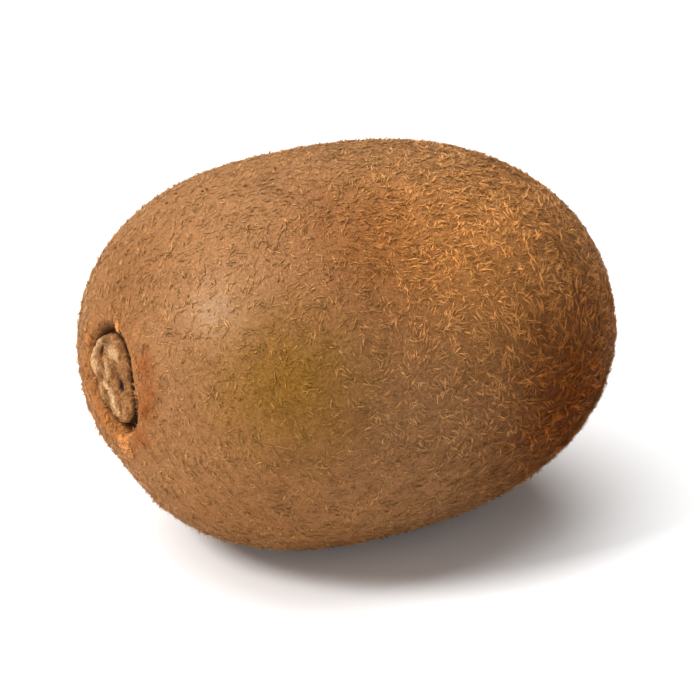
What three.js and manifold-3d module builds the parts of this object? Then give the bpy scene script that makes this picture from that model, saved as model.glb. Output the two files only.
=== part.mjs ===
// A whole kiwi fruit, lying on its broad side.
// Millimetres, +Z up. +X runs along the fruit from the stem end to the blossom end, and the origin
// is on the surface that the fruit rests on, below the middle of its bounding box.
// The fruit grew as one piece, so skin, stem scar, sepal scraps and dried styles are one solid.

import * as THREE from "three";
import { mergeVertices } from "three/addons/utils/BufferGeometryUtils.js";
import Module from "manifold-3d";

const wasm = await Module();
wasm.setup();

// Driving dimensions of the body
const stemHalf = 29.8; // widest ring to the stem end
const blossomHalf = 38.1; // widest ring to the blossom end
const halfWidth = 27.6; // the fruit is wider than high where it lies
const halfHeight = 24.2;
const stemFullness = 2.41; // 2 is an ellipse, and more is blunter
const blossomFullness = 2.36;
const noseDown = THREE.MathUtils.degToRad(1.6); // blossom end lies this much lower
const soleDepth = 0.45; // the skin is pressed flat this deep where it rests

// Low swells that keep the body from being a perfect round: waves round its girth, the second kind
// growing from the middle towards one end and turning into hollows towards the other
const girthWaves = [{ count: 3, height: 0.11, phase: 1.3 }];
const taperWaves = [{ count: 2, height: 0.1, phase: 0.6 }];

// A flat place in the skin, below the scar
const flatPlace = new THREE.Vector3(-0.87, 0.13, -0.47); // direction from the middle
const flatDepth = 0.7;
const flatReach = 0.2;

// Stem end: a corky scar in a crevice, with a slightly swollen collar of skin round it
const scarRadius = 6.15;
const scarOffset = new THREE.Vector2(1.4, 1.0); // its middle in Y and Z
const scarWaves = [
  { count: 2, height: 0.6, phase: -1.6 },
  { count: 3, height: 0.3, phase: 0.6 },
];
const scarSink = 0.25; // the cork lies this far below the skin
const creviceDepth = 1.1;
const creviceWidth = 0.55;
const creviceWaves = [{ count: 1, height: 0.4, phase: Math.PI / 2 }]; // deepest towards -Y
const collarHeight = 0.4;
const collarInset = 1.6; // from the edge of the scar to the crest of the collar
const collarWidth = 1.6;
const collarWaves = [
  { count: 1, height: 0.3, phase: 2.6 },
  { count: 6, height: 0.16, phase: 1 },
];

// Relief of the cork: a rim, low lumps, and hollows
const rimHeight = 0.45;
const rimInset = 1.3;
const rimWidth = 0.9;
const rimWaves = [{ count: 1, height: 0.5, phase: -1.8 }]; // highest towards +Y
const lumpHeight = 0.22;
const lumpSpacing = new THREE.Vector2(2.1, 2.4);
const pitDepth = 0.8;
const pitReach = 0.85;
// The middle of each hollow, in Y and Z from the middle of the scar
const pits = [
  new THREE.Vector2(-2.4, -0.1),
  new THREE.Vector2(3.2, 2.9),
  new THREE.Vector2(2.6, -0.9),
];

// Blossom end: a puckered dimple with a small beak in it
const dimpleDepth = 1.0;
const dimpleRadius = 4.2;
const beakHeight = 0.9;
const beakRadius = 1.6;
const puckerCount = 11;
const puckerDepth = 0.26;
const puckerReach = 4.2; // from the beak to where the puckers are deepest
const puckerWidth = 2.6;
const puckerWaves = [{ count: 3, height: 0.33, phase: 1 }]; // some puckers are deeper than others

// Dried styles that lie spread on the beak
const styleCount = 12;
const styleReach = 2.7;
const styleRadius = 0.36;
const styleArch = 0.35;
const styleSink = 0.45; // its root is this far inside the beak
const styleLift = 0.4; // its tip is this far above the skin

// Dried scraps of sepal on the collar, each at its turn round the scar in degrees, from the top
// towards +Y
const sepalStart = 7.05; // from the middle of the scar to a scrap's root
const sepalThickness = 0.7;
const sepalArch = 0.2;
const sepalSink = 0.15;
const sepalLift = 0.1;
const sepalTipShare = 0.48; // width of the tip, of the width of the root
const sepals = [
  { turn: -4, length: 1.6, width: 1.9 },
  { turn: 68, length: 1.8, width: 1.6 },
  { turn: 203, length: 3.0, width: 3.0 },
];

// Mesh of the skin
const segments = 64;
const rings = 66;
// Pairs of ring share and angle from the stem end in degrees: rings stand closest at the two ends.
const ringPlan = [
  [0, 0],
  [0.15, 9.5],
  [0.31, 16],
  [0.39, 26],
  [0.84, 160],
  [1, 180],
];

/** A smooth bump that is 1 at zero and fades out past one. */
const bell = (x) => Math.exp(-x * x);

/** The sum of some waves round a circle, at this turn. */
const ripple = (waves, turn) =>
  waves.reduce((sum, { count, height, phase }) => sum + height * Math.cos(count * turn + phase), 0);

/** Angle from the stem end of the ring at this share of the way to the blossom end. */
function ringAngle(share) {
  const next = ringPlan.findIndex(([end], i) => i > 0 && share <= end + 1e-9);
  const [low, high] = [ringPlan[next - 1], ringPlan[next]];
  return THREE.MathUtils.degToRad(
    THREE.MathUtils.mapLinear(share, low[0], high[0], low[1], high[1])
  );
}

/** Distance from the middle of the fruit to its skin, without the relief at the two ends. */
function bodyRadius(direction) {
  const toStem = direction.x < 0;
  const along = Math.abs(direction.x) / (toStem ? stemHalf : blossomHalf);
  const across = Math.hypot(direction.y / halfWidth, direction.z / halfHeight);
  const fullness = toStem ? stemFullness : blossomFullness;
  return (along ** fullness + across ** fullness) ** (-1 / fullness);
}

/** Low swells that keep the body from being a perfect round, and its flat place. */
function bodySwell(direction) {
  const turn = Math.atan2(direction.y, direction.z);
  const girth = 1 - direction.x ** 2;
  const swell = ripple(girthWaves, turn) + direction.x * ripple(taperWaves, turn);
  return girth * swell - flatDepth * bell(direction.distanceTo(flatPlace) / flatReach);
}

/** How far the stem end stands out at a place in its face: collar, crevice and corky scar. */
function stemRelief(y, z) {
  const place = new THREE.Vector2(y, z).sub(scarOffset);
  const turn = Math.atan2(place.x, place.y);
  const past = place.length() - scarRadius - ripple(scarWaves, turn);
  const collar =
    collarHeight * bell((past - collarInset) / collarWidth) * (1 + ripple(collarWaves, turn));
  const crevice = creviceDepth * bell(past / creviceWidth) * (1 + ripple(creviceWaves, turn));
  if (past > 0) return collar - crevice;
  const rim = rimHeight * bell((past + rimInset) / rimWidth) * (1 + ripple(rimWaves, turn));
  const lumps = Math.sin((Math.PI * y) / lumpSpacing.x) * Math.sin((Math.PI * z) / lumpSpacing.y);
  const hollows = pits.map((pit) => pitDepth * bell(place.distanceTo(pit) / pitReach));
  return collar - crevice - scarSink + rim + lumpHeight * lumps - Math.max(...hollows);
}

/** How far the blossom end stands out: a dimple with radial puckers and a beak in the middle. */
function blossomRelief(y, z) {
  const turn = Math.atan2(y, z);
  const reach = Math.hypot(y, z);
  const spread = turn * puckerCount + Math.sin(2 * turn);
  const pucker = (0.5 + 0.5 * Math.cos(spread)) * (1 + ripple(puckerWaves, turn));
  return (
    beakHeight * bell(reach / beakRadius) -
    dimpleDepth * bell(reach / dimpleRadius) -
    puckerDepth * pucker * bell((reach - puckerReach) / puckerWidth)
  );
}

/** The point of the skin that lies in this direction from the middle of the fruit. */
function skinPoint(direction) {
  const point = direction.clone().multiplyScalar(bodyRadius(direction) + bodySwell(direction));
  point.x += direction.x < 0 ? -stemRelief(point.y, point.z) : blossomRelief(point.y, point.z);
  return point;
}

/** A geometry with only positions, its shared vertices merged. */
function positionsOnly(geometry) {
  geometry.deleteAttribute("normal");
  geometry.deleteAttribute("uv");
  return mergeVertices(geometry, 1e-4);
}

/** Moves every vertex of a geometry to where change puts it. */
function reshape(geometry, change) {
  const position = geometry.getAttribute("position");
  const vertex = new THREE.Vector3();
  for (let i = 0; i < position.count; i++) {
    vertex.fromBufferAttribute(position, i);
    change(vertex);
    position.setXYZ(i, vertex.x, vertex.y, vertex.z);
  }
  return geometry;
}

/** A closed geometry as a solid for the joins. */
function solidOf(geometry) {
  return new wasm.Manifold(
    new wasm.Mesh({
      numProp: 3,
      vertProperties: new Float32Array(geometry.getAttribute("position").array),
      triVerts: new Uint32Array(geometry.index.array),
    })
  );
}

/** A joined solid as a geometry. */
function geometryOf(solid) {
  const mesh = solid.getMesh();
  const geometry = new THREE.BufferGeometry();
  geometry.setAttribute("position", new THREE.BufferAttribute(mesh.vertProperties, 3));
  geometry.setIndex(new THREE.BufferAttribute(mesh.triVerts, 1));
  return geometry;
}

/** Puts a geometry that runs along +Y on the line between two points, its +Z side outwards. */
function layBetween(geometry, from, to, outwards) {
  const along = to.clone().sub(from).normalize();
  const across = new THREE.Vector3().crossVectors(along, outwards).normalize();
  const facing = new THREE.Vector3().crossVectors(across, along);
  const middle = from.clone().lerp(to, 0.5);
  return geometry.applyMatrix4(
    new THREE.Matrix4().makeBasis(across, along, facing).setPosition(middle)
  );
}

/** Bends a geometry that runs along +Y, so that its middle stands out towards +Z. */
function arched(geometry, length, height) {
  return reshape(geometry, (vertex) => {
    vertex.z += height * (1 - ((2 * vertex.y) / length) ** 2);
  });
}

/** The body with its relief at both ends, as a globe whose poles are the two ends. */
function makeBody() {
  const globe = positionsOnly(new THREE.SphereGeometry(1, segments, rings));
  const direction = new THREE.Vector3();
  return reshape(globe, (vertex) => {
    const share = Math.acos(THREE.MathUtils.clamp(vertex.y, -1, 1)) / Math.PI;
    const turn = Math.atan2(-vertex.z, vertex.x);
    const angle = ringAngle(share);
    direction.set(
      -Math.cos(angle),
      Math.sin(angle) * Math.sin(turn),
      Math.sin(angle) * Math.cos(turn)
    );
    vertex.copy(skinPoint(direction));
  });
}

/** One dried style: a strand that leaves the beak, arches over the dimple and ends near the skin. */
function makeStyle(index) {
  const turn = ((index + 0.3 * Math.sin(5 * index)) / styleCount) * 2 * Math.PI;
  const reach = styleReach * (1 + 0.2 * Math.sin(2.7 * index));
  const sideways = new THREE.Vector3(0, Math.sin(turn), Math.cos(turn));
  const outwards = new THREE.Vector3(1, 0, 0);
  const root = new THREE.Vector3(blossomHalf + beakHeight - dimpleDepth - styleSink, 0, 0);
  root.addScaledVector(sideways, 0.5 * styleRadius);
  const tip = skinPoint(sideways.clone().multiplyScalar(reach / blossomHalf).setX(1).normalize());
  tip.x += styleLift * (1 + 0.5 * Math.cos(3.1 * index));
  const length = root.distanceTo(tip);
  const strand = new THREE.CylinderGeometry(0.8 * styleRadius, styleRadius, length, 5, 4);
  return layBetween(arched(positionsOnly(strand), length, styleArch), root, tip, outwards);
}

/** One dried scrap of sepal: a small scale whose root is in the crevice, lying on the collar. */
function makeSepal({ turn, length, width }) {
  const angle = THREE.MathUtils.degToRad(turn);
  const sideways = new THREE.Vector3(0, Math.sin(angle), Math.cos(angle));
  const stemPoint = (reach) =>
    skinPoint(
      new THREE.Vector3(-stemHalf, scarOffset.x, scarOffset.y)
        .addScaledVector(sideways, reach)
        .normalize()
    );
  const root = stemPoint(sepalStart);
  const tip = stemPoint(sepalStart + length);
  root.x += sepalSink;
  tip.x -= sepalLift;
  const span = root.distanceTo(tip);
  const half = { root: width / 2, tip: (sepalTipShare * width) / 2 };
  const scale = positionsOnly(new THREE.CylinderGeometry(half.tip, half.root, span, 8, 3));
  reshape(scale, (vertex) => {
    const halfHere = THREE.MathUtils.lerp(half.root, half.tip, vertex.y / span + 0.5);
    vertex.z *= (0.5 * sepalThickness) / halfHere;
  });
  return layBetween(arched(scale, span, sepalArch), root, tip, new THREE.Vector3(-1, 0, 0));
}

/** Skin, sepal scraps and styles joined in one solid. */
function makeFruit() {
  const pieces = [
    ...sepals.map(makeSepal),
    ...Array.from({ length: styleCount }, (_, index) => makeStyle(index)),
  ];
  const joined = pieces.reduce((whole, piece) => whole.add(solidOf(piece)), solidOf(makeBody()));
  return geometryOf(joined);
}

/** Lays the fruit down: tips it a little, presses the sole flat and puts the origin below it. */
function layDown(geometry) {
  geometry.rotateY(noseDown);
  geometry.computeBoundingBox();
  const sole = geometry.boundingBox.min.z + soleDepth;
  reshape(geometry, (vertex) => {
    vertex.z = Math.max(vertex.z, sole);
  });
  geometry.computeBoundingBox();
  const { min, max } = geometry.boundingBox;
  return geometry.translate(-(min.x + max.x) / 2, -(min.y + max.y) / 2, -min.z);
}

const skin = new THREE.MeshStandardMaterial({ color: 0xa9743f, roughness: 0.8, metalness: 0 });
const fruit = new THREE.Mesh(layDown(makeFruit()), skin);
fruit.name = "kiwi_fruit";

const kiwi = new THREE.Group();
kiwi.add(fruit);

export default kiwi;
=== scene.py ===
"""A whole kiwi fruit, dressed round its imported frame.

The fruit lies on its broad side, with its stem end towards -X and its blossom end towards +X. The
shape is worked out in millimetres in the grown frame, whose middle is the middle of the widest
ring, and every piece is then laid down in the frame, in metres.
"""

import logging
import math
import random
from collections.abc import Callable, Sequence
from dataclasses import dataclass
from enum import Enum

import bmesh
import bpy
from mathutils import Color, Matrix, Vector, noise


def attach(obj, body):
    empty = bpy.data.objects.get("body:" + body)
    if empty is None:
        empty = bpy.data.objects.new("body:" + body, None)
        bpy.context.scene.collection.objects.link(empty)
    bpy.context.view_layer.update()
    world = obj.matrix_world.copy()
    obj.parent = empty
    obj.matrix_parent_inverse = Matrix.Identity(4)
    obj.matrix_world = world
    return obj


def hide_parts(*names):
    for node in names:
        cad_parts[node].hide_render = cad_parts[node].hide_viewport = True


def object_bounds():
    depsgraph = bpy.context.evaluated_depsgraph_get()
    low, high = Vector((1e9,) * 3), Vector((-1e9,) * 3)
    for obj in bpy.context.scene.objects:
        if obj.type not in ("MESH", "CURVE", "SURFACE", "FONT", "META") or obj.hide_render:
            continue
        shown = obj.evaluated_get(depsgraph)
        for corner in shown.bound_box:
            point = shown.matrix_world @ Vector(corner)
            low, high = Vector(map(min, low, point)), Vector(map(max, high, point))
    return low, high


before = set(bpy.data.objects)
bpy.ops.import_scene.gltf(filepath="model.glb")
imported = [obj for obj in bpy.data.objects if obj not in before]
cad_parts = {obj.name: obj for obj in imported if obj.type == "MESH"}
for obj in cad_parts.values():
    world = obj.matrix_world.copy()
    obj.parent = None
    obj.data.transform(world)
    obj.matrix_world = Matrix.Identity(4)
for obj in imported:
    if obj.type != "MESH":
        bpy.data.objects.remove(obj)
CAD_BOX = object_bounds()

MM = 0.001
NODE = "kiwi_fruit"
BODY = "root"
BLOSSOM_AXIS = Vector((1, 0, 0))

log = logging.getLogger("kiwi")


class Slot(Enum):
    """Material slots of the record."""

    SKIN = "fuzzy_skin"
    CORK = "corky_scar"
    STRAND = "dried_strand"
    FUZZ = "fuzz"


@dataclass(frozen=True)
class Wave:
    """One wave round a circle."""

    count: int
    height: float
    phase: float


def ripple(waves: Sequence[Wave], turn: float) -> float:
    """Adds up waves round a circle.

    Args:
        waves: The waves.
        turn: Angle round the circle, in radians.

    Returns:
        The height of all waves there.
    """
    return sum(w.height * math.cos(w.count * turn + w.phase) for w in waves)


def bell(x: float) -> float:
    """A smooth bump that is 1 at zero and fades out past one."""
    return math.exp(-x * x)


def smooth(x: float, low: float, high: float) -> float:
    """A smooth step from 0 at low to 1 at high."""
    share = min(1.0, max(0.0, (x - low) / (high - low)))
    return share * share * (3 - 2 * share)


def rough(place: Vector, size: float, octaves: int = 3) -> float:
    """Fractal noise, mostly from -1 to 1, with features of a size in millimetres."""
    return noise.fractal(place / size, 1.0, 2.0, octaves)


@dataclass(frozen=True)
class FruitForm:
    """Shape of the fruit, in millimetres."""

    stem_half: float = 29.8
    blossom_half: float = 38.1
    half_width: float = 27.6
    half_height: float = 24.2
    stem_fullness: float = 2.41
    blossom_fullness: float = 2.36
    nose_down: float = math.radians(1.6)
    girth_waves: tuple[Wave, ...] = (Wave(3, 0.11, 1.3),)
    taper_waves: tuple[Wave, ...] = (Wave(2, 0.1, 0.6),)
    flat_place: tuple[float, float, float] = (-0.87, 0.13, -0.47)
    flat_depth: float = 0.7
    flat_reach: float = 0.2
    middle: tuple[float, float, float] = (-4.11, -0.10, 23.79)

    scar_radius: float = 6.15
    scar_offset: tuple[float, float] = (1.4, 1.0)
    scar_waves: tuple[Wave, ...] = (Wave(2, 0.6, -1.6), Wave(3, 0.3, 0.6))
    crevice_depth: float = 1.1
    crevice_width: float = 0.55
    crevice_waves: tuple[Wave, ...] = (Wave(1, 0.4, math.pi / 2),)
    collar_height: float = 0.4
    collar_inset: float = 1.6
    collar_width: float = 1.6
    collar_waves: tuple[Wave, ...] = (Wave(1, 0.3, 2.6), Wave(6, 0.16, 1.0))

    dimple_depth: float = 1.0
    dimple_radius: float = 4.2
    beak_height: float = 0.9
    beak_radius: float = 1.6
    pucker_count: int = 11
    pucker_depth: float = 0.26
    pucker_reach: float = 4.2
    pucker_width: float = 2.6
    pucker_waves: tuple[Wave, ...] = (Wave(3, 0.33, 1.0),)

    def body(self, direction: Vector) -> Vector:
        """The body's surface without the relief at its ends.

        Args:
            direction: Unit vector from the middle of the fruit.

        Returns:
            The point of the surface in that direction.
        """
        to_stem = direction.x < 0
        along = abs(direction.x) / (self.stem_half if to_stem else self.blossom_half)
        across = math.hypot(direction.y / self.half_width, direction.z / self.half_height)
        fullness = self.stem_fullness if to_stem else self.blossom_fullness
        radius = (along**fullness + across**fullness) ** (-1 / fullness)
        turn = math.atan2(direction.y, direction.z)
        swell = ripple(self.girth_waves, turn) + direction.x * ripple(self.taper_waves, turn)
        gap = (direction - Vector(self.flat_place)).length
        dent = self.flat_depth * bell(gap / self.flat_reach)
        return direction * (radius + (1 - direction.x**2) * swell - dent)

    def scar_edge(self, turn: float) -> float:
        """Distance from the middle of the scar to its edge at a turn round it."""
        return self.scar_radius + ripple(self.scar_waves, turn)

    def round_scar(self, y: float, z: float) -> tuple[float, float]:
        """Where a place in the stem face lies round the scar.

        Args:
            y: Place across the fruit.
            z: Place up the fruit.

        Returns:
            Its turn round the scar from the top towards +Y, and how far past the scar's edge it is.
        """
        across = y - self.scar_offset[0]
        up = z - self.scar_offset[1]
        turn = math.atan2(across, up)
        return turn, math.hypot(across, up) - self.scar_edge(turn)

    def stem_relief(self, y: float, z: float) -> float:
        """Collar and crevice at a place in the stem face.

        Args:
            y: Place across the fruit.
            z: Place up the fruit.

        Returns:
            How far the skin stands out there.
        """
        turn, past = self.round_scar(y, z)
        collar = self.collar_height * bell((past - self.collar_inset) / self.collar_width)
        crevice = self.crevice_depth * (1 + ripple(self.crevice_waves, turn))
        if past > 0:
            crevice *= bell(past / self.crevice_width)
        return collar * (1 + ripple(self.collar_waves, turn)) - crevice

    def blossom_relief(self, y: float, z: float) -> float:
        """Dimple, puckers and beak at the blossom end.

        Args:
            y: Place across the fruit.
            z: Place up the fruit.

        Returns:
            How far the skin stands out there.
        """
        turn = math.atan2(y, z)
        reach = math.hypot(y, z)
        wave = 0.5 + 0.5 * math.cos(turn * self.pucker_count + math.sin(2 * turn))
        pucker = wave * (1 + ripple(self.pucker_waves, turn))
        return (
            self.beak_height * bell(reach / self.beak_radius)
            - self.dimple_depth * bell(reach / self.dimple_radius)
            - self.pucker_depth * pucker * bell((reach - self.pucker_reach) / self.pucker_width)
        )

    def skin(self, direction: Vector) -> Vector:
        """The skin's surface, with the relief at its ends.

        Args:
            direction: Unit vector from the middle of the fruit.

        Returns:
            The point of the skin in that direction.
        """
        point = self.body(direction)
        if direction.x < 0:
            point.x -= self.stem_relief(point.y, point.z)
        else:
            point.x += self.blossom_relief(point.y, point.z)
        return point

    def stem_face(self, y: float, z: float) -> Vector:
        """The stem face of the body, without relief.

        Args:
            y: Place across the fruit.
            z: Place up the fruit.

        Returns:
            The point of the body there.
        """
        across = math.hypot(y / self.half_width, z / self.half_height)
        share = (1 - across**self.stem_fullness) ** (1 / self.stem_fullness)
        return Vector((-self.stem_half * share, y, z))

    def laid(self, point: Vector) -> Vector:
        """Lays a grown point down in the frame.

        Args:
            point: Place in the grown frame, in millimetres.

        Returns:
            Its place in the frame, in metres, never below the surface the fruit rests on.
        """
        place = Matrix.Rotation(self.nose_down, 3, "Y") @ point + Vector(self.middle)
        place.z = max(place.z, 0.0)
        return place * MM


FORM = FruitForm()

# Places in the frame, in millimetres: the worn shoulder, which also carries a painted highlight, and the
# crown of the blossom end
WORN_AND_SHEEN_PLACE = (-26.4, -12.5, 38.5)
WORN_AND_SHEEN_REACH = 7.0
CROWN_PLACE = (33.9, -0.1, 22.7)
CROWN_REACH = 6.0

# Where the fuzz begins to be shaggy, and where it is fully so, along the fruit
SLEEK_END = -24
SHAGGY_END = 26


def shag(place: Vector) -> float:
    """How shaggy the fuzz is: 0 at the stem end, 1 at the blossom end."""
    return smooth(place.x, SLEEK_END, SHAGGY_END)


def face_out(bm: bmesh.types.BMesh) -> None:
    """Turns the faces of closed shapes outwards.

    The shapes are enlarged from metres to millimetres for it, because the operator can't tell in
    from out on very small ones.

    Args:
        bm: The mesh, in metres.
    """
    bmesh.ops.scale(bm, verts=bm.verts[:], vec=(1 / MM, 1 / MM, 1 / MM))
    bmesh.ops.recalc_face_normals(bm, faces=bm.faces[:])
    bmesh.ops.scale(bm, verts=bm.verts[:], vec=(MM, MM, MM))


def finished(
    bm: bmesh.types.BMesh, name: str, material: bpy.types.Material
) -> bpy.types.Object:
    """Makes a piece of a finished bmesh and rides it on the fruit's body.

    Args:
        bm: The mesh, in the frame, in metres. It is freed.
        name: The piece's name.
        material: Its finish.

    Returns:
        The new object, at the origin.
    """
    mesh = bpy.data.meshes.new(name)
    bm.to_mesh(mesh)
    bm.free()
    mesh.shade_smooth()
    mesh.materials.append(material)
    piece = bpy.data.objects.new(name, mesh)
    bpy.context.scene.collection.objects.link(piece)
    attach(piece, BODY)
    log.info("%s: %d faces", name, len(mesh.polygons))
    return piece


class Number:
    """A number in a material, with + - * / as Math nodes."""

    def __init__(self, nodes: "Nodes", socket: bpy.types.NodeSocket) -> None:
        """Keeps the socket that gives the number, and the node maker it belongs to."""
        self.nodes = nodes
        self.socket = socket

    def _math(self, operation: str, first: "Number | float", second: "Number | float") -> "Number":
        """Adds one Math node.

        Args:
            operation: The node's operation.
            first: Its first number.
            second: Its second number.

        Returns:
            The result.
        """
        made = self.nodes.add("ShaderNodeMath", {"operation": operation}, {0: first, 1: second})
        return Number(self.nodes, made.outputs[0])

    def __add__(self, other: "Number | float") -> "Number":
        """Sum."""
        return self._math("ADD", self, other)

    def __radd__(self, other: float) -> "Number":
        """Sum, reflected."""
        return self._math("ADD", other, self)

    def __sub__(self, other: "Number | float") -> "Number":
        """Difference."""
        return self._math("SUBTRACT", self, other)

    def __rsub__(self, other: float) -> "Number":
        """Difference, reflected."""
        return self._math("SUBTRACT", other, self)

    def __mul__(self, other: "Number | float") -> "Number":
        """Product."""
        return self._math("MULTIPLY", self, other)

    def __rmul__(self, other: float) -> "Number":
        """Product, reflected."""
        return self._math("MULTIPLY", other, self)

    def over(self, low: float, high: float) -> "Number":
        """A smooth step of this number from 0 at low to 1 at high."""
        made = self.nodes.add(
            "ShaderNodeMapRange",
            {"interpolation_type": "SMOOTHSTEP"},
            {"Value": self, "From Min": low, "From Max": high},
        )
        return Number(self.nodes, made.outputs["Result"])


class Nodes:
    """Makes the nodes of one material."""

    def __init__(self, name: str) -> None:
        """Starts a material with only its Principled shader.

        Args:
            name: The material's name.
        """
        self.material = bpy.data.materials.new(name)
        self.material.use_nodes = True
        self.tree = self.material.node_tree
        self.shader = self.tree.nodes["Principled BSDF"]
        coordinates = self.add("ShaderNodeTexCoord", {}, {})
        scaled = self.add(
            "ShaderNodeVectorMath",
            {"operation": "SCALE"},
            {0: coordinates.outputs["Object"], "Scale": 1 / MM},
        )
        self.place = scaled.outputs[0]

    def add(self, kind: str, settings: dict, values: dict) -> bpy.types.Node:
        """Adds a node.

        Args:
            kind: The node's type.
            settings: Its own settings, which are set first.
            values: By input name or number, a value, a socket or a Number.

        Returns:
            The node.
        """
        made = self.tree.nodes.new(kind)
        for name, value in settings.items():
            setattr(made, name, value)
        self.set(made, values)
        return made

    def set(self, node: bpy.types.Node, values: dict) -> None:
        """Sets or links inputs of a node.

        Args:
            node: The node.
            values: By input name or number, a value, a socket or a Number.
        """
        for name, value in values.items():
            if isinstance(value, Number):
                value = value.socket
            if isinstance(value, bpy.types.NodeSocket):
                self.tree.links.new(value, node.inputs[name])
            else:
                node.inputs[name].default_value = value

    def grain(self, size: float, detail: float = 2.0, roughness: float = 0.5) -> Number:
        """Noise from 0 to 1 with features of a size in millimetres."""
        made = self.add(
            "ShaderNodeTexNoise",
            {},
            {"Vector": self.place, "Scale": 1 / size, "Detail": detail, "Roughness": roughness},
        )
        return Number(self, made.outputs["Fac"])

    def near(self, spot: Sequence[float], reach: float, ragged: float = 0.0) -> Number:
        """A mask round a place in the frame.

        Args:
            spot: The middle of the mask, in millimetres.
            reach: Where it has faded out.
            ragged: How far its edge wanders.

        Returns:
            1 at the spot, 0 past the reach.
        """
        made = self.add(
            "ShaderNodeVectorMath", {"operation": "DISTANCE"}, {0: self.place, 1: tuple(spot)}
        )
        gap = Number(self, made.outputs["Value"])
        if ragged:
            gap = gap + (self.grain(reach / 3, 3.0) - 0.5) * (2 * ragged)
        return 1 - gap.over(0.0, reach)

    def attribute(self, name: str) -> Number:
        """A number that the mesh carries."""
        return Number(self, self.add("ShaderNodeAttribute", {"attribute_name": name}, {}).outputs["Fac"])

    def colour(self, tone: Sequence[float]) -> tuple[float, float, float, float]:
        """A display colour from 0 to 255 as a shader colour."""
        made = Color([channel / 255 for channel in tone]).from_srgb_to_scene_linear()
        return (*made, 1.0)

    def mix(
        self, share: "Number | float", low: object, high: object, blend: str = "MIX"
    ) -> bpy.types.NodeSocket:
        """Mixes two colours.

        Args:
            share: How much of the second.
            low: The first colour or its socket.
            high: The second colour or its socket.
            blend: How they mix.

        Returns:
            The mixed colour.
        """
        made = self.add(
            "ShaderNodeMix",
            {"data_type": "RGBA", "blend_type": blend},
            {0: share, 6: low, 7: high},
        )
        return made.outputs[2]

    def bump(self, height: Number, distance: float, strength: float = 1.0) -> bpy.types.NodeSocket:
        """A Bump node's normal, for a height from 0 to 1 and its depth in millimetres."""
        made = self.add(
            "ShaderNodeBump", {}, {"Height": height, "Distance": distance * MM, "Strength": strength}
        )
        return made.outputs["Normal"]


@dataclass(frozen=True)
class BlushAndPaintedLight:
    """A soft-edged patch of another tone on the fruit: mostly a blush of its own colour, in some places
    painted shade or a painted highlight.
    """

    tone: tuple[float, float, float]
    spot: tuple[float, float, float]
    reach: float
    share: float


@dataclass(frozen=True)
class FruitTones:
    """Colours that change slowly over the whole fruit, for its skin and its fuzz, with a painted shade
    towards the blossom end and a painted highlight on the worn shoulder.
    """

    base: tuple[float, float, float] = (170, 125, 86)
    # Painted shade: a dark, deep orange patch towards the blossom end, on the front of the fruit
    painted_shade: tuple[float, float, float] = (106, 52, 0)
    painted_shade_place: tuple[float, float, float] = (18.5, -24, 20.5)
    painted_shade_reach: float = 26.0
    ragged: float = 0.16
    blushes_and_painted_light: tuple[BlushAndPaintedLight, ...] = (
        BlushAndPaintedLight((148, 107, 30), (-22, -22, 31), 16.0, 0.8),
        BlushAndPaintedLight((154, 95, 47), (-4, -15, 43), 18.0, 0.75),
        BlushAndPaintedLight((206, 144, 82), (8, -16, 39), 24.0, 0.75),
        BlushAndPaintedLight((146, 90, 36), (34, -2, 24), 36.0, 0.6),
        BlushAndPaintedLight((168, 116, 66), (-20, -14, 12), 24.0, 0.6),
        # Darker at the upper left of the stem end: partly the fruit's own tone, partly painted shade that
        # tones down the soft box's light there
        BlushAndPaintedLight((146, 100, 62), (-30, 4, 37), 14.0, 0.6),
        BlushAndPaintedLight((192, 116, 46), (-33, 1, 24), 13.0, 0.65),
        # Painted highlight: a pale warm patch on the worn shoulder
        BlushAndPaintedLight((188, 145, 90), WORN_AND_SHEEN_PLACE, 0.9 * WORN_AND_SHEEN_REACH, 0.5),
        BlushAndPaintedLight((160, 112, 46), (12, 22, 30), 26.0, 0.6),
        BlushAndPaintedLight((166, 98, 36), (-12, 24, 18), 20.0, 0.5),
        BlushAndPaintedLight((150, 78, 26), (-33, -6, 30.3), 2.8, 0.6),
        BlushAndPaintedLight((150, 78, 26), (-33, -7.4, 27.2), 2.8, 0.6),
        BlushAndPaintedLight((146, 74, 24), (-33.4, -7.2, 24.6), 2.6, 0.6),
        BlushAndPaintedLight((146, 76, 26), (-33.6, -6.2, 20.8), 2.8, 0.6),
    )

    def over(self, nodes: Nodes) -> bpy.types.NodeSocket:
        """Adds the patches to a material.

        Args:
            nodes: The material's node maker.

        Returns:
            The colour over the fruit.
        """
        shade = nodes.colour(self.base)
        # The painted shade goes on last, over all other patches
        painted_shade = BlushAndPaintedLight(self.painted_shade, self.painted_shade_place, self.painted_shade_reach, 1.0)
        for each_patch in (*self.blushes_and_painted_light, painted_shade):
            mask = nodes.near(each_patch.spot, each_patch.reach, ragged=self.ragged * each_patch.reach)
            shade = nodes.mix(mask * each_patch.share, shade, nodes.colour(each_patch.tone))
        return shade


SKIN_TONES = FruitTones()
# The hair takes a lighter painted shade than the skin and the down, as if its strands caught more light
HAIR_TONES = FruitTones(painted_shade=(134, 70, 4))


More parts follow.
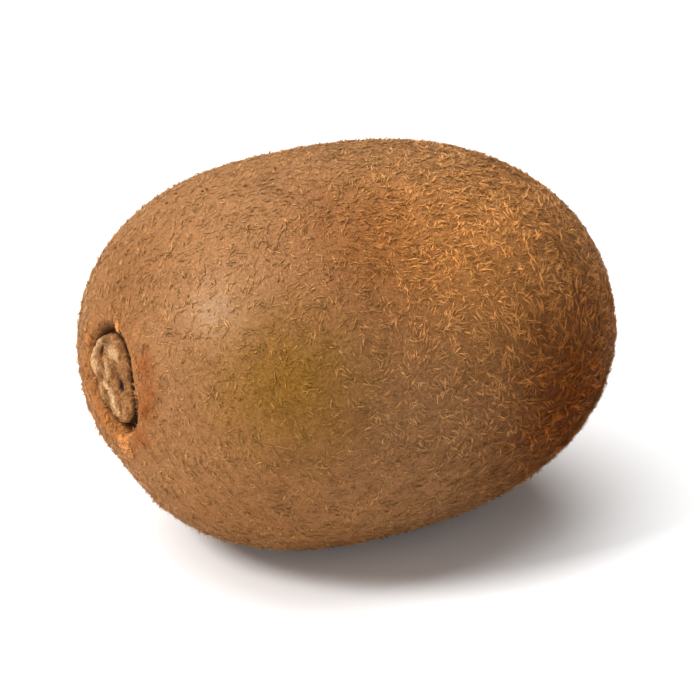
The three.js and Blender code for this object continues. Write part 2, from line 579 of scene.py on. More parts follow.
@dataclass(frozen=True)
class SkinFinish:
    """Thin brown skin below the fuzz: mottled and felt-like, faintly polished where it is worn, with
    painted shade in the crevice round the scar.
    """

    roughness: float = 0.85
    specular: float = 0.08
    felt_size: float = 0.3
    felt_depth: float = 0.05
    felt_dark: tuple[float, float, float] = (0.5, 0.43, 0.34)
    felt_light: tuple[float, float, float] = (0.8, 0.74, 0.66)
    mottle_size: float = 5.0
    mottle_share: float = 0.25
    worn_coat: float = 0.26
    coat_roughness: float = 0.38
    freckle: tuple[float, float, float] = (96, 56, 26)
    # Painted shade in the crevice round the scar; the same colour stains the crown of the blossom end
    crevice: tuple[float, float, float] = (70, 38, 16)

    def material(self) -> bpy.types.Material:
        """Builds the material.

        Returns:
            The material.
        """
        nodes = Nodes("kiwi_skin")
        shade = SKIN_TONES.over(nodes)
        felt = nodes.grain(self.felt_size, 3.0, 0.65)
        mottle = nodes.grain(self.mottle_size, 4.0, 0.6)
        depth = nodes.mix(felt.over(0.35, 0.68), (*self.felt_dark, 1), (*self.felt_light, 1))
        shade = nodes.mix(1.0, shade, depth, "MULTIPLY")
        freckled = mottle.over(0.5, 0.72) * self.mottle_share
        shade = nodes.mix(freckled, shade, nodes.colour(self.freckle))
        # Painted shade in the crevice round the scar, and the crown's stain
        shade = nodes.mix(nodes.attribute("hollow"), shade, nodes.colour(self.crevice))
        worn = nodes.near(WORN_AND_SHEEN_PLACE, 1.6 * WORN_AND_SHEEN_REACH, ragged=2.0)
        nodes.set(
            nodes.shader,
            {
                "Base Color": shade,
                "Roughness": self.roughness,
                "Specular IOR Level": self.specular,
                "Coat Weight": worn * self.worn_coat,
                "Coat Roughness": self.coat_roughness,
                "Normal": nodes.bump(felt, self.felt_depth),
            },
        )
        return nodes.material


# How many times brighter than the tones below it a hair may be: its "tone" of 1
BRIGHTEST_HAIR = 2.5


@dataclass(frozen=True)
class FuzzFinish:
    """Short plant hair: darker at the root, lighter at the tip, with a brightness of its own."""

    name: str
    tones: FruitTones
    root: tuple[float, float, float] = (0.42, 0.36, 0.3)
    tip: tuple[float, float, float] = (1.3, 1.3, 1.28)
    bright_cast: tuple[float, float, float] = (1.0, 1.0, 0.86)
    roughness: float = 0.6
    specular: float = 0.07

    def material(self) -> bpy.types.Material:
        """Builds the material.

        Returns:
            The material.
        """
        nodes = Nodes(self.name)
        share = nodes.attribute("along").over(-0.2, 0.9)
        along = nodes.mix(share, (*self.root, 1), (*self.tip, 1))
        bright = [BRIGHTEST_HAIR * channel for channel in self.bright_cast]
        tone = nodes.mix(nodes.attribute("tone"), (0, 0, 0, 1), (*bright, 1))
        shade = nodes.mix(1.0, self.tones.over(nodes), along, "MULTIPLY")
        shade = nodes.mix(1.0, shade, tone, "MULTIPLY")
        nodes.set(
            nodes.shader,
            {"Base Color": shade, "Roughness": self.roughness, "Specular IOR Level": self.specular},
        )
        return nodes.material


@dataclass(frozen=True)
class CorkFinish:
    """Weathered cork of the stem scar: pale ridges, brown ground, dull green, and painted shade in its
    low places.
    """

    ground: tuple[float, float, float] = (158, 111, 66)
    pale: tuple[float, float, float] = (208, 170, 126)
    shade: tuple[float, float, float] = (116, 71, 34)
    moss: tuple[float, float, float] = (104, 80, 40)
    # Painted shade for the low places of the cork
    hollow: tuple[float, float, float] = (40, 22, 8)
    worn_dark: tuple[float, float, float] = (0.5, 0.45, 0.4)
    worn_light: tuple[float, float, float] = (1.15, 1.12, 1.08)
    grit_size: float = 0.3
    grit_depth: float = 0.2
    patch_size: float = 1.3
    roughness: float = 0.85
    specular: float = 0.15

    def material(self) -> bpy.types.Material:
        """Builds the material.

        Returns:
            The material.
        """
        nodes = Nodes("kiwi_cork")
        height = nodes.attribute("height")
        pale = nodes.attribute("pale")
        moss = nodes.attribute("moss")
        grit = nodes.grain(self.grit_size, 4.0, 0.7)
        patch = nodes.grain(self.patch_size, 3.0)
        ground, shade = nodes.colour(self.ground), nodes.colour(self.shade)
        tone = nodes.mix(patch.over(0.42, 0.6) * 0.75, ground, shade)
        tone = nodes.mix(pale.over(0.0, 0.9) * 0.9, tone, nodes.colour(self.pale))
        tone = nodes.mix((0 - pale).over(0.0, 0.8) * 0.7, tone, shade)
        tone = nodes.mix(moss.over(0.1, 0.9) * 0.8, tone, nodes.colour(self.moss))
        # Painted shade: darker where the cork lies low
        tone = nodes.mix((1 - height.over(-0.35, 0.12)) * 0.95, tone, nodes.colour(self.hollow))
        worn = nodes.mix(grit.over(0.34, 0.66), (*self.worn_dark, 1), (*self.worn_light, 1))
        tone = nodes.mix(1.0, tone, worn, "MULTIPLY")
        nodes.set(
            nodes.shader,
            {
                "Base Color": tone,
                "Roughness": self.roughness,
                "Specular IOR Level": self.specular,
                "Normal": nodes.bump(grit, self.grit_depth),
            },
        )
        return nodes.material


@dataclass(frozen=True)
class StrandFinish:
    """Dry papery scraps and strands."""

    name: str
    light: tuple[float, float, float]
    dark: tuple[float, float, float]
    streak_size: float = 0.5
    streak_depth: float = 0.1
    roughness: float = 0.8
    specular: float = 0.25

    def material(self) -> bpy.types.Material:
        """Builds the material.

        Returns:
            The material.
        """
        nodes = Nodes(self.name)
        streak = nodes.grain(self.streak_size, 4.0, 0.7)
        light, dark = nodes.colour(self.light), nodes.colour(self.dark)
        shade = nodes.mix(streak.over(0.35, 0.65), dark, light)
        nodes.set(
            nodes.shader,
            {
                "Base Color": shade,
                "Roughness": self.roughness,
                "Specular IOR Level": self.specular,
                "Normal": nodes.bump(streak, self.streak_depth),
            },
        )
        return nodes.material


@dataclass
class FruitSkin:
    """The skin of the whole fruit, with its rings closest at the two ends."""

    segments: int = 320
    rings: int = 212
    ring_plan: tuple[tuple[float, float], ...] = (
        (0.0, 0.0),
        (0.03, 8.0),
        (0.32, 19.0),
        (0.4, 30.0),
        (0.82, 160.0),
        (1.0, 180.0),
    )
    wrinkle_depth: float = 0.07
    wrinkle_size: float = 2.4
    grain_depth: float = 0.02
    grain_size: float = 0.7
    rough_stem: tuple[float, float] = (20, 29)
    rough_crown: tuple[float, float] = (30, 37)
    under_cork: float = 1.4
    fold_depth: float = 0.5
    fold_rays: float = 3.5
    fold_reach: float = 3.5
    fold_width: float = 4.0
    fold_start: tuple[float, float] = (28, 34)
    crown_stain: float = 0.55
    stain_reach: float = 2.6
    face: float = 0.8

    def ring_angle(self, share: float) -> float:
        """Where a ring lies.

        Args:
            share: Its number, as a share of all rings.

        Returns:
            Its angle from the stem end, seen from the middle of the fruit, in radians.
        """
        after = next(i for i, (end, _) in enumerate(self.ring_plan) if i and share <= end + 1e-6)
        (low, first), (high, last) = self.ring_plan[after - 1 : after + 1]
        return math.radians(first + (share - low) / (high - low) * (last - first))

    def relief(self, point: Vector) -> float:
        """Fine unevenness of the skin, strongest at the two ends.

        Args:
            point: A point of the skin.

        Returns:
            How far it stands out there.
        """
        end = max(smooth(-point.x, *self.rough_stem), smooth(point.x, *self.rough_crown))
        wrinkle = rough(point, self.wrinkle_size) * self.wrinkle_depth * (1 + end)
        grain = rough(point, self.grain_size, 2) * self.grain_depth * (0.4 + end)
        reach = math.hypot(point.y, point.z)
        turn = math.atan2(point.y, point.z)
        rays = self.fold_rays
        ray = noise.noise(Vector((rays * math.cos(turn), rays * math.sin(turn), 0.12 * reach)))
        ring = bell((reach - self.fold_reach) / self.fold_width)
        fold = self.fold_depth * ray * ring * smooth(point.x, *self.fold_start)
        return wrinkle + grain + fold

    def shape(self) -> bmesh.types.BMesh:
        """Builds the mesh in the frame.

        Returns:
            The mesh, which carries how much painted shade each vertex takes in the crevice round the
            scar, and how much stain at the crown of the blossom end.
        """
        bm = bmesh.new()
        bmesh.ops.create_uvsphere(bm, u_segments=self.segments, v_segments=self.rings, radius=1)
        hollow = bm.verts.layers.float.new("hollow")
        for vert in bm.verts:
            share = math.acos(max(-1.0, min(1.0, vert.co.z))) / math.pi
            turn = math.atan2(vert.co.y, vert.co.x)
            angle = self.ring_angle(share)
            spread = math.sin(angle)
            direction = Vector((-math.cos(angle), spread * math.sin(turn), spread * math.cos(turn)))
            point = FORM.skin(direction)
            point += direction * self.relief(point)
            if direction.x < -self.face:
                past = FORM.round_scar(point.y, point.z)[1]
                point.x += self.under_cork * smooth(-past, 0.1, 1.4)
                # Painted shade, deepest inside the crevice round the scar
                vert[hollow] = smooth(-past, -0.4, 0.15)
            elif direction.x > self.face:
                reach = math.hypot(point.y, point.z)
                vert[hollow] = self.crown_stain * bell(reach / self.stain_reach)
            vert.co = FORM.laid(point)
        face_out(bm)
        return bm

    def build(self) -> bpy.types.Object:
        """Builds and dresses the skin, which stands for the fruit's node.

        Returns:
            The skin.
        """
        piece = finished(self.shape(), "fruit_skin", SkinFinish().material())
        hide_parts(NODE)
        return piece


@dataclass(frozen=True)
class Mark:
    """One feature of the scar's face, along a line of places in Y and Z from the scar's middle."""

    line: tuple[tuple[float, float], ...]
    reach: float
    rise: float
    pale: float = 0.0
    moss: float = 0.0

    def strength(self, across: float, up: float) -> float:
        """How strongly the mark shows at a place.

        Args:
            across: Place in Y from the scar's middle.
            up: Place in Z from the scar's middle.

        Returns:
            1 on the mark's line, fading out past its reach.
        """
        place = Vector((across, up))
        gap = (place - Vector(self.line[0])).length
        for first, last in zip(self.line[:-1], self.line[1:], strict=True):
            start = Vector(first)
            step = Vector(last) - start
            share = max(0.0, min(1.0, (place - start).dot(step) / step.length_squared))
            gap = min(gap, (place - start - step * share).length)
        return bell(gap / self.reach)


@dataclass
class StemScar:
    """The corky scar where the stalk broke off: a lens whose outer face is worn cork."""

    segments: int = 160
    rings: int = 108
    sink: float = 0.3
    thickness: float = 2.4
    wall: float = 0.94
    gap: float = 0.58
    gap_waves: tuple[Wave, ...] = (
        Wave(1, 0.62, math.radians(100)),
        Wave(2, 0.3, math.radians(200)),
        Wave(3, 0.25, math.radians(-60)),
    )
    edge_drop: float = 1.6
    rim_height: float = 0.22
    rim_inset: float = 1.3
    rim_width: float = 0.9
    rim_waves: tuple[Wave, ...] = (Wave(1, 0.5, -1.8),)
    marks: tuple[Mark, ...] = (
        Mark(((4.2, 4.2), (5.4, 2.6), (5.6, 1.0), (4.8, -0.2)), 0.9, 0.18, pale=1.0),
        Mark(((3.7, 2.8), (3.9, 2.0)), 0.6, -0.8),
        Mark(((2.6, 4.0), (1.8, 4.4)), 0.8, -0.15, moss=0.7),
        Mark(((2.9, 0.6),), 0.55, -0.35, moss=1.0),
        Mark(((2.9, -1.0),), 0.4, -0.5, moss=0.5),
        Mark(((2.4, -1.2), (1.2, -1.7), (0.1, -2.3), (-0.5, -3.3)), 0.6, 0.06, pale=0.85),
        Mark(((4.6, -2.4), (3.4, -4.4), (1.0, -5.6)), 1.3, -0.4),
        Mark(((0.8, 3.4), (-0.6, 3.2)), 1.1, 0.12, pale=0.7),
        Mark(((1.6, 1.4), (1.2, 0.2)), 0.6, 0.1, pale=0.6),
        Mark(((-0.5, 1.7), (-0.9, 0.8)), 0.8, -0.1, pale=-0.8),
        Mark(((-1.8, -0.3),), 0.75, -0.95),
        Mark(((1.4, -3.2), (0.8, -4.2)), 0.8, -0.12, moss=0.7),
        Mark(((3.2, -2.2), (2.2, -4.2)), 0.6, 0.08, pale=0.3),
        Mark(((-1.5, -4.0),), 0.6, 0.1, pale=0.9),
        Mark(((-1.1, -5.0),), 0.4, -0.5, pale=-0.5),
        Mark(((-3.1, -1.4), (-3.4, -3.4)), 0.9, 0.05, pale=0.1),
        Mark(((-2.3, -2.6), (-2.4, -4.0)), 0.22, -0.25, pale=-0.6),
        Mark(((-3.3, 0.9), (-2.8, 2.4)), 0.7, 0.05, pale=0.2),
        Mark(((-1.6, 3.2), (-2.0, 4.2)), 0.35, -0.3, pale=-0.6),
    )
    lump: float = 0.15
    lump_size: float = 1.5
    grit: float = 0.1
    grit_size: float = 0.45
    groove_depth: float = 0.2
    groove_size: float = 1.3
    groove_width: float = 0.08
    ragged: float = 0.14

    def edge(self, turn: float) -> float:
        """Distance from the middle of the scar to the edge of the cork at a turn round it."""
        uneven = self.ragged * rough(Vector((3 * math.sin(turn), 3 * math.cos(turn), 5.0)), 1.0)
        return FORM.scar_edge(turn) - self.gap * (1 + ripple(self.gap_waves, turn)) + uneven

    def height(self, y: float, z: float) -> float:
        """The cork's own relief.

        Args:
            y: Place across the fruit.
            z: Place up the fruit.

        Returns:
            How far the cork stands out of the body there.
        """
        across = y - FORM.scar_offset[0]
        up = z - FORM.scar_offset[1]
        turn, past = FORM.round_scar(y, z)
        rim = self.rim_height * bell((past + self.rim_inset) / self.rim_width)
        rim *= 1 + ripple(self.rim_waves, turn)
        marks = sum(mark.rise * mark.strength(across, up) for mark in self.marks)
        place = Vector((y, z, 3.7))
        groove = self.groove_depth * bell(rough(place, self.groove_size) / self.groove_width)
        fine = self.lump * rough(place, self.lump_size) + self.grit * rough(place, self.grit_size)
        return rim + marks + fine - groove - self.sink

    def shape(self) -> bmesh.types.BMesh:
        """Builds the mesh in the frame.

        Returns:
            The mesh, which carries each vertex's height and how pale and how green it is.
        """
        bm = bmesh.new()
        bmesh.ops.create_uvsphere(bm, u_segments=self.segments, v_segments=self.rings, radius=1)
        layers = {name: bm.verts.layers.float.new(name) for name in ("height", "pale", "moss")}
        for vert in bm.verts:
            share = 2 * math.acos(max(-1.0, min(1.0, vert.co.z))) / math.pi
            turn = math.atan2(vert.co.y, vert.co.x)
            outer = share <= 1
            radius = (share if outer else self.wall * (2 - share)) * self.edge(turn)
            across = radius * math.sin(turn)
            up = radius * math.cos(turn)
            point = FORM.stem_face(FORM.scar_offset[0] + across, FORM.scar_offset[1] + up)
            stand = -self.thickness
            if outer:
                drop = self.edge_drop * smooth(share, 0.88, 1.0)
                stand = self.height(point.y, point.z) - drop
                vert[layers["height"]] = 0.5 + stand
                for name in ("pale", "moss"):
                    vert[layers[name]] = sum(
                        getattr(mark, name) * mark.strength(across, up) for mark in self.marks
                    )
            point.x -= stand
            vert.co = FORM.laid(point)
        face_out(bm)
        return bm

    def build(self) -> bpy.types.Object:
        """Builds and dresses the scar."""
        return finished(self.shape(), "stem_scar", CorkFinish().material())


@dataclass(frozen=True)
class Scrap:
    """One dried scrap of sepal: degrees round the scar from the top towards +Y, and its size."""

    turn: float
    length: float
    width: float
    start: float = 6.9


@dataclass
class SepalScraps:
    """Dried scraps of sepal on the collar, thin and curled, with worn round tips."""

    scraps: tuple[Scrap, ...] = (Scrap(-4, 1.2, 1.2), Scrap(68, 1.3, 1.1), Scrap(208, 2.9, 3.2))
    thickness: float = 0.4
    arch: float = 0.25
    lift: float = 0.05
    tear: float = 0.1
    crumple: float = 0.08
    cells: int = 16

    def scrap(self, bm: bmesh.types.BMesh, scrap: Scrap) -> None:
        """Adds one scrap to the mesh.

        Args:
            bm: The mesh.
            scrap: Its place and size.
        """
        made = bmesh.ops.create_grid(bm, x_segments=self.cells, y_segments=self.cells, size=0.5)
        angle = math.radians(scrap.turn)
        for vert in made["verts"]:
            side = vert.co.x
            share = vert.co.y + 0.5
            torn = self.tear * rough(Vector((side * 6, scrap.turn, 0)), 1.0)
            reach = scrap.start + scrap.length * share * (1 + torn)
            width = scrap.width * math.sqrt(1 - 0.85 * share**3)
            turn = angle + side * width / reach
            y = FORM.scar_offset[0] + reach * math.sin(turn)
            z = FORM.scar_offset[1] + reach * math.cos(turn)
            point = FORM.stem_face(y, z)
            bow = self.arch * math.sin(math.pi * min(1, share + 0.2)) * (1 - (2 * side) ** 2)
            stand = FORM.stem_relief(y, z) + bow + self.lift * (1 + share)
            point.x -= stand + self.crumple * rough(point, 0.7)
            vert.co = FORM.laid(point)
        fresh = set(made["verts"])
        faces = [face for face in bm.faces if fresh.issuperset(face.verts)]
        bmesh.ops.solidify(bm, geom=faces, thickness=self.thickness * MM)

    def build(self) -> bpy.types.Object:
        """Builds and dresses the scraps.

        Returns:
            The scraps, as one piece.
        """
        bm = bmesh.new()
        for scrap in self.scraps:
            self.scrap(bm, scrap)
        face_out(bm)
        finish = StrandFinish("kiwi_sepal", light=(196, 128, 66), dark=(150, 88, 38))
        return finished(bm, "sepal_scraps", finish.material())


@dataclass
class DriedStyles:
    """Dried styles that lie spread on the beak at the blossom end."""

    count: int = 12
    reach: float = 2.7
    radius: float = 0.33
    arch: float = 0.35
    sway: float = 0.3
    twist: float = 0.25
    taper: float = 0.9
    last_taper: float = 0.55
    sink: float = 0.45
    lift: float = 0.35
    steps: int = 9
    sides: int = 8

    def strand(self, bm: bmesh.types.BMesh, index: int) -> None:
        """Adds one style to the mesh.

        Args:
            bm: The mesh.
            index: Its number round the beak.
        """
        turn = (index + 0.3 * math.sin(5 * index)) / self.count * 2 * math.pi
        reach = self.reach * (1 + 0.2 * math.sin(2.7 * index))
        sideways = Vector((0, math.sin(turn), math.cos(turn)))
        root = Vector((FORM.blossom_half + FORM.beak_height - FORM.dimple_depth - self.sink, 0, 0))
        root += sideways * self.radius * 0.5
        tip = FORM.skin((BLOSSOM_AXIS * FORM.blossom_half + sideways * reach).normalized())
        tip.x += self.lift * (1 + 0.5 * math.cos(3.1 * index))
        along = (tip - root).normalized()
        frame_turn = along.to_track_quat("Z", "Y").to_matrix()
        made = bmesh.ops.create_circle(bm, cap_ends=True, segments=self.sides, radius=self.radius)
        ring = made["verts"]
        bmesh.ops.rotate(bm, verts=ring, cent=(0, 0, 0), matrix=frame_turn)
        bmesh.ops.translate(bm, verts=ring, vec=root)
        lid = ring[0].link_faces[0]
        sway = self.sway * math.sin(3 * index)
        bow = Vector((self.arch, sideways.z * sway, -sideways.y * sway))
        for step in range(1, self.steps + 1):
            made = bmesh.ops.extrude_face_region(bm, geom=[lid], use_keep_orig=step == 1)
            lid = next(g for g in made["geom"] if isinstance(g, bmesh.types.BMFace))
            share = step / self.steps
            before = (step - 1) / self.steps
            rise = (1 - (2 * share - 1) ** 2) - (1 - (2 * before - 1) ** 2)
            move = (tip - root) / self.steps + bow * rise
            verts = lid.verts[:]
            bmesh.ops.translate(bm, verts=verts, vec=move)
            centre = lid.calc_center_median()
            shrink = self.taper if step < self.steps else self.last_taper
            squeeze = Matrix.Rotation(self.twist, 3, along) @ Matrix.Scale(shrink, 3)
            for vert in verts:
                vert.co = centre + squeeze @ (vert.co - centre)

    def build(self) -> bpy.types.Object:
        """Builds and dresses the styles.

        Returns:
            The styles, as one piece.
        """
        bm = bmesh.new()
        for index in range(self.count):
            self.strand(bm, index)
        for vert in bm.verts:
            vert.co = FORM.laid(vert.co)
        face_out(bm)
        finish = StrandFinish("kiwi_style", light=(158, 120, 80), dark=(84, 54, 30))
        return finished(bm, "dried_styles", finish.material())


class HairKind(Enum):
    """How a hair is built."""

    STRAIGHT = "straight"
    BENT = "bent"


# Turns a three-sided hair so that one of its corners is its crest
RIDGE_UP = Matrix.Rotation(math.radians(-30), 3, "Z")
HALF_WAY_GIRTH = 0.8


def straight_hair() -> bmesh.types.BMesh:
    """Makes a three-sided spike one unit high.

    Returns:
        Its mesh, with the root at the origin.
    """
    bm = bmesh.new()
    bmesh.ops.create_cone(bm, cap_ends=True, segments=3, radius1=1, radius2=0, depth=1)
    bmesh.ops.rotate(bm, verts=bm.verts[:], cent=(0, 0, 0), matrix=RIDGE_UP)
    bmesh.ops.translate(bm, verts=bm.verts[:], vec=(0, 0, 0.5))
    return bm


def bent_hair() -> bmesh.types.BMesh:
    """Makes a three-sided hair one unit high, with a ring half way up, which lets it bend.

    Returns:
        Its mesh, with the root at the origin.
    """
    bm = bmesh.new()
    made = bmesh.ops.create_circle(bm, cap_ends=True, segments=3, radius=1)
    bmesh.ops.rotate(bm, verts=made["verts"], cent=(0, 0, 0), matrix=RIDGE_UP)
    face = made["verts"][0].link_faces[0]
    raised = bmesh.ops.extrude_face_region(bm, geom=[face], use_keep_orig=True)["geom"]
    lid = [g for g in raised if isinstance(g, bmesh.types.BMFace)]
    ring = [g for g in raised if isinstance(g, bmesh.types.BMVert)]
    bmesh.ops.translate(bm, verts=ring, vec=(0, 0, 0.5))
    bmesh.ops.scale(bm, verts=ring, vec=(HALF_WAY_GIRTH, HALF_WAY_GIRTH, 1))
    tip = bmesh.ops.poke(bm, faces=lid)["verts"]
    bmesh.ops.translate(bm, verts=tip, vec=(0, 0, 0.5))
    bmesh.ops.recalc_face_normals(bm, faces=bm.faces[:])
    return bm


HAIRS: dict[HairKind, Callable[[], bmesh.types.BMesh]] = {
    HairKind.STRAIGHT: straight_hair,
    HairKind.BENT: bent_hair,
}


@dataclass
class FuzzCoat:
    """One coat of short hair over the skin.

    Hair stands in locks, placed at random by the skin's area: thinner where the skin is worn, and
    closer towards the blossom end, where it is also longer and shaggier. Length and lift are
    ranges. A tone is its middle and how far it spreads. The spread of the bend, the share of the
    width and the closeness are what they are on sleek fuzz, and what shaggy fuzz adds.
    """

    name: str
    kind: HairKind
    count: int
    length: tuple[float, float]
    width: float
    lift: tuple[float, float]
    droop: float
    seed: int
    tone: tuple[float, float]
    shaggy_tone: tuple[float, float]
    lock: int = 1
    lock_spread: float = 0.13
    lock_back: float = 0.26
    lock_close: float = 0.8
    stray: float = 0.16
    stray_lift: float = 0.45
    stray_length: float = 1.0
    shaggier: float = 0.3
    crown_short: float = 0.65
    bend_spread: tuple[float, float] = (0.3, 0.2)
    width_share: tuple[float, float] = (0.9, 0.15)
    closeness: tuple[float, float] = (0.8, 0.4)
    length_range: tuple[float, float] = (0.85, 1.15)
    width_range: tuple[float, float] = (0.75, 1.25)
    mood: float = 0.8
    flatness: float = 0.45
    scatter: float = 0.5
    swirl: float = 2.4
    swirl_size: float = 9.0
    clump: float = 1.2
    clump_size: float = 1.3
    sunk: float = 0.05
    wear: float = 0.5
    dimmest: float = 0.14
    scar_clear: float = 0.12
    sole_clear: float = 0.02
    floor_clear: float = 0.03

    def copies(self) -> bmesh.types.BMesh:
        """Makes the hairs of the coat by doubling one hair.

        Returns:
            Their mesh, with all hairs still in one place.
        """
        one = HAIRS[self.kind]()
        template = bpy.data.meshes.new("hair")
        one.to_mesh(template)
        one.free()
        bm = bmesh.new()
        bm.from_mesh(template)
        bpy.data.meshes.remove(template)
        verts, faces = len(bm.verts), len(bm.faces)
        made = 1
        while made < self.count:
            more = min(made, self.count - made)
            some = bm.verts[:][: more * verts] + bm.faces[:][: more * faces]
            edges = {edge for face in bm.faces[:][: more * faces] for edge in face.edges}
            ordered = sorted(edges, key=lambda edge: edge.index)
            bmesh.ops.duplicate(bm, geom=some + ordered)
            bm.edges.index_update()
            made += more
        return bm

    def comb(self, place: Vector, draw: random.Random) -> float:
        """How a lock of hair is combed.

        Args:
            place: Where it stands.
            draw: The random draws.

        Returns:
            How far it turns from the line to the blossom end, in radians.
        """
        wander = noise.noise(place / self.swirl_size)
        wander += 0.5 * noise.noise(place / (self.swirl_size / 3))
        tuft = noise.noise(place / self.clump_size + Vector((7.0, 3.0, 1.0)))
        return self.swirl * wander + 2 * self.clump * tuft + draw.gauss(0, self.scatter)

    def brightness(self, place: Vector, rise: float, draw: random.Random) -> float:
        """How bright a lock of hair is.

        Args:
            place: Where it stands.
            rise: How shaggy the fuzz is there.
            draw: The random draws.

        Returns:
            Its brightness as a share of the brightest.
        """
        tuft = noise.noise(place / (0.7 * self.clump_size) + Vector((1.0, 9.0, 4.0)))
        mood = tuft + draw.uniform(-self.mood, self.mood)
        pairs = zip(self.tone, self.shaggy_tone, strict=True)
        middle, spread = (sleek + (shaggy - sleek) * rise for sleek, shaggy in pairs)
        return min(1.0, max(self.dimmest, (middle + spread * mood) / BRIGHTEST_HAIR))

    def spots(
        self, grounds: Sequence[bpy.types.Object], draw: random.Random
    ) -> list[tuple[Vector, Vector]]:
        """Picks where the locks of hair stand.

        Args:
            grounds: The pieces they grow on.
            draw: The random draws.

        Returns:
            For each lock its root, in millimetres, and the ground's normal there.
        """
        open_skin = []
        total = 0.0
        sums = []
        turned = Matrix.Rotation(-FORM.nose_down, 3, "Y")
        for mesh in (ground.data for ground in grounds):
            for face in sorted(mesh.polygons, key=lambda face: sorted(face.vertices)):
                centre = face.center / MM
                grown = turned @ (centre - Vector(FORM.middle))
                at_stem = grown.x < -20
                scarred = at_stem and FORM.round_scar(grown.y, grown.z)[1] < self.scar_clear
                if scarred or centre.z < self.sole_clear:
                    continue
                worn = self.wear * bell((centre - Vector(WORN_AND_SHEEN_PLACE)).length / WORN_AND_SHEEN_REACH)
                close = self.closeness[0] + self.closeness[1] * shag(centre)
                total += face.area * (1 - worn) * close
                open_skin.append((mesh, face))
                sums.append(total)
        found = []
        for mesh, face in draw.choices(open_skin, cum_weights=sums, k=self.count // self.lock):
            first = face.vertices[:].index(min(face.vertices))
            ordered = face.vertices[first:] + face.vertices[:first]
            corners = [mesh.vertices[i].co / MM for i in ordered]
            u, v = draw.random(), draw.random()
            if len(corners) == 3 and u + v > 1:
                u, v = 1 - u, 1 - v
            if len(corners) == 4:
                near_side = corners[0].lerp(corners[1], u)
                place = near_side.lerp(corners[3].lerp(corners[2], u), v)
            else:
                place = corners[0] + (corners[1] - corners[0]) * u + (corners[2] - corners[0]) * v
            found.append((place, face.normal.copy()))
        return found

    def shape(self, grounds: Sequence[bpy.types.Object]) -> bmesh.types.BMesh:
        """Builds the coat's mesh in the frame.

        Args:
            grounds: The pieces the hairs grow on.

        Returns:
            The mesh, which carries each vertex's share along its hair and each hair's tone.
        """
        draw = random.Random(self.seed)
        bm = self.copies()
        along_layer = bm.verts.layers.float.new("along")
        tone_layer = bm.verts.layers.float.new("tone")
        verts = bm.verts[:]
        per_hair = len(verts) // self.count
        local = [vert.co.copy() for vert in verts[:per_hair]]
        hair = 0
        for root, normal in self.spots(grounds, draw):
            forward = BLOSSOM_AXIS - normal * normal.x
            if forward.length < 1e-3:
                forward = normal.orthogonal()
            forward.normalize()
            forward.rotate(Matrix.Rotation(self.comb(root, draw), 3, normal))
            side = normal.cross(forward)
            rise = shag(root)
            length = draw.uniform(*self.length) * (1 + self.shaggier * rise)
            crown = bell((root - Vector(CROWN_PLACE)).length / CROWN_REACH)
            length *= 1 - self.crown_short * crown
            lift = draw.uniform(*self.lift)
            if draw.random() < self.stray:
                lift += self.stray_lift
                length = min(length, self.stray_length)
            width = self.width * (self.width_share[0] + self.width_share[1] * rise)
            bend = draw.gauss(0, self.bend_spread[0] + self.bend_spread[1] * rise)
            tone = self.brightness(root, rise, draw)
            for _ in range(self.lock):
                aside = draw.gauss(0, self.lock_spread) if self.lock > 1 else 0.0
                back = draw.gauss(0, self.lock_back) if self.lock > 1 else 0.0
                start = root + side * aside + forward * back - normal * self.sunk
                reach = length * draw.uniform(*self.length_range)
                girth = width * draw.uniform(*self.width_range)
                own = verts[hair * per_hair : (hair + 1) * per_hair]
                for vert, shape in zip(own, local, strict=True):
                    share = shape.z
                    up = math.sin(lift) * share - self.droop * share * share
                    place = start + (forward * math.cos(lift) * share + normal * up) * reach
                    place += side * (bend * reach * share - self.lock_close * aside) * share
                    place += (side * shape.x + normal * shape.y * self.flatness) * girth
                    place.z = max(place.z, self.floor_clear)
                    vert.co = place * MM
                    vert[along_layer] = share
                    vert[tone_layer] = tone
                hair += 1
        return bm

    def build(
        self, grounds: Sequence[bpy.types.Object], material: bpy.types.Material
    ) -> bpy.types.Object:
        """Builds and dresses the coat.

        Args:
            grounds: The pieces the hairs grow on.
            material: The fuzz's finish.

        Returns:
            The coat.
        """
        return finished(self.shape(grounds), self.name, material)


def fuzz_coats() -> list[FuzzCoat]:
    """Plans the fuzz: one coat of short down, and three of longer bent hair in small locks.

    Returns:
        The coats.
    """
    down = FuzzCoat(
        name="down",
        kind=HairKind.STRAIGHT,
        count=49500,
        length=(0.6, 1.0),
        width=0.07,
        lift=(0.1, 0.4),
        droop=0.0,
        seed=11,
        shaggier=0.5,
        tone=(0.92, 0.35),
        shaggy_tone=(1.0, 0.5),
    )
    hair = {
        "kind": HairKind.BENT,
        "count": 19899,
        "length": (0.7, 1.3),
        "width": 0.085,
        "lift": (0.14, 0.34),
        "droop": 0.1,
        "lock": 3,
        "shaggier": 0.35,
        "tone": (1.02, 0.36),
        "shaggy_tone": (1.36, 0.5),
    }
    names = ("fuzz_low", "fuzz_middle", "fuzz_top")
    return [down, *(FuzzCoat(name, seed=21 + index, **hair) for index, name in enumerate(names))]


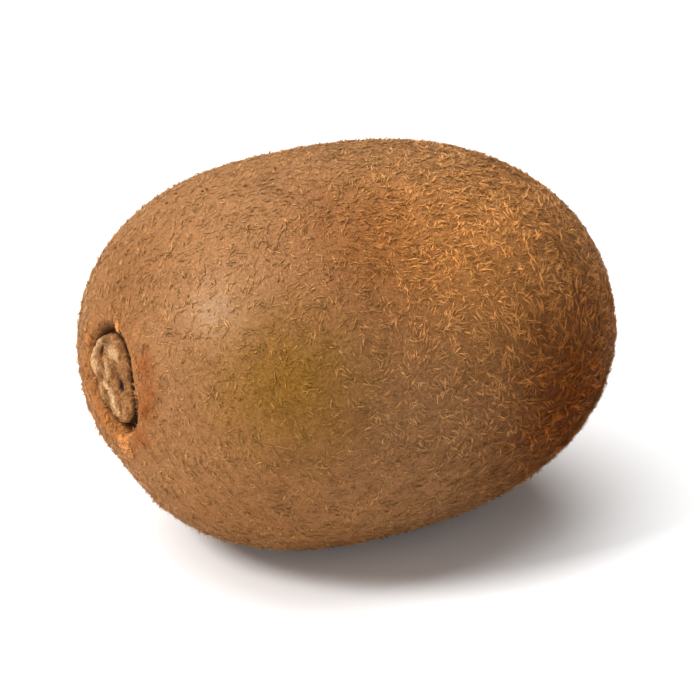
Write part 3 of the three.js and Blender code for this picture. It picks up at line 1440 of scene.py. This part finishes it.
@dataclass
class Studio:
    """The camera, a plain white floor, white surroundings and three soft lights."""

    azimuth: float = -31.0
    elevation: float = 25.0
    distance: float = 0.9
    fill: float = 0.74
    aim_drop: float = 0.002
    floor_size: float = 3.0
    floor_glow: float = 0.05
    surroundings: float = 0.1

    def floor(self) -> None:
        """Lays the floor."""
        bm = bmesh.new()
        bmesh.ops.create_grid(bm, x_segments=1, y_segments=1, size=self.floor_size)
        mesh = bpy.data.meshes.new("floor")
        bm.to_mesh(mesh)
        bm.free()
        nodes = Nodes("floor_white")
        white = (1, 1, 1, 1)
        glow = {"Emission Color": white, "Emission Strength": self.floor_glow}
        surface = {"Base Color": (0.9, 0.9, 0.9, 1), "Roughness": 0.6, "Specular IOR Level": 0.2}
        nodes.set(nodes.shader, surface | glow)
        mesh.materials.append(nodes.material)
        floor = bpy.data.objects.new("floor", mesh)
        bpy.context.scene.collection.objects.link(floor)

    def direction(self, azimuth: float, elevation: float) -> Vector:
        """Unit vector from the fruit towards a place seen at these angles, in degrees."""
        turn, rise = math.radians(azimuth), math.radians(elevation)
        return Vector((math.sin(turn) * math.cos(rise), -math.cos(turn) * math.cos(rise), math.sin(rise)))

    def lamp(
        self, name: str, azimuth: float, elevation: float, distance: float, size: float, power: float
    ) -> None:
        """Hangs a square soft light that faces the fruit.

        Args:
            name: Its name.
            azimuth: Degrees round the fruit.
            elevation: Degrees above the floor.
            distance: Metres from the fruit.
            size: Its side, in metres.
            power: Watts.
        """
        data = bpy.data.lights.new(name, "AREA")
        data.size = size
        data.energy = power
        lamp = bpy.data.objects.new(name, data)
        towards = self.direction(azimuth, elevation)
        turn = towards.to_track_quat("Z", "Y").to_matrix()
        lamp.matrix_world = Matrix.Translation(towards * distance) @ turn.to_4x4()
        bpy.context.scene.collection.objects.link(lamp)

    def camera(self) -> None:
        """Places the camera so that the fruit fills its share of the picture's width."""
        low, high = (Vector(corner) for corner in CAD_BOX)
        data = bpy.data.cameras.new("camera")
        camera = bpy.data.objects.new("camera", data)
        towards = self.direction(self.azimuth, self.elevation)
        turn = towards.to_track_quat("Z", "Y").to_matrix()
        across = turn.col[0]
        size = high - low
        width = math.hypot(across.x * size.x, across.y * size.y)
        aim = (low + high) / 2 - Vector((0, 0, self.aim_drop))
        camera.matrix_world = Matrix.Translation(aim + towards * self.distance) @ turn.to_4x4()
        data.sensor_width = 36.0
        data.lens = data.sensor_width * self.distance * self.fill / width
        data.clip_start = 0.01
        bpy.context.scene.collection.objects.link(camera)
        bpy.context.scene.camera = camera

    def world(self) -> None:
        """Sets the white surroundings and the plain view transform."""
        scene = bpy.context.scene
        world = bpy.data.worlds.new("surroundings")
        world.use_nodes = True
        background = world.node_tree.nodes["Background"]
        background.inputs["Color"].default_value = (1, 1, 1, 1)
        background.inputs["Strength"].default_value = self.surroundings
        scene.world = world
        scene.view_settings.view_transform = "Standard"

    def build(self) -> None:
        """Sets up camera, floor, lights and surroundings."""
        self.camera()
        self.floor()
        self.world()
        self.lamp("soft_box", azimuth=-95, elevation=42, distance=1.0, size=0.3, power=9.3)
        self.lamp("top_light", azimuth=180, elevation=72, distance=1.2, size=1.7, power=29.0)
        self.lamp("front_light", azimuth=-50, elevation=22, distance=1.5, size=1.4, power=6.0)
        log.info("studio ready")


def main() -> None:
    """Builds every piece in order."""
    logging.basicConfig(level=logging.INFO, format="%(name)s: %(message)s")
    Studio().build()
    skin = FruitSkin().build()
    StemScar().build()
    scraps = SepalScraps().build()
    DriedStyles().build()
    down = FuzzFinish("kiwi_down", SKIN_TONES).material()
    fuzz = FuzzFinish("kiwi_fuzz", HAIR_TONES).material()
    for coat in fuzz_coats():
        coat.build((skin, scraps), down if coat.kind is HairKind.STRAIGHT else fuzz)


if __name__ == "__main__":
    main()
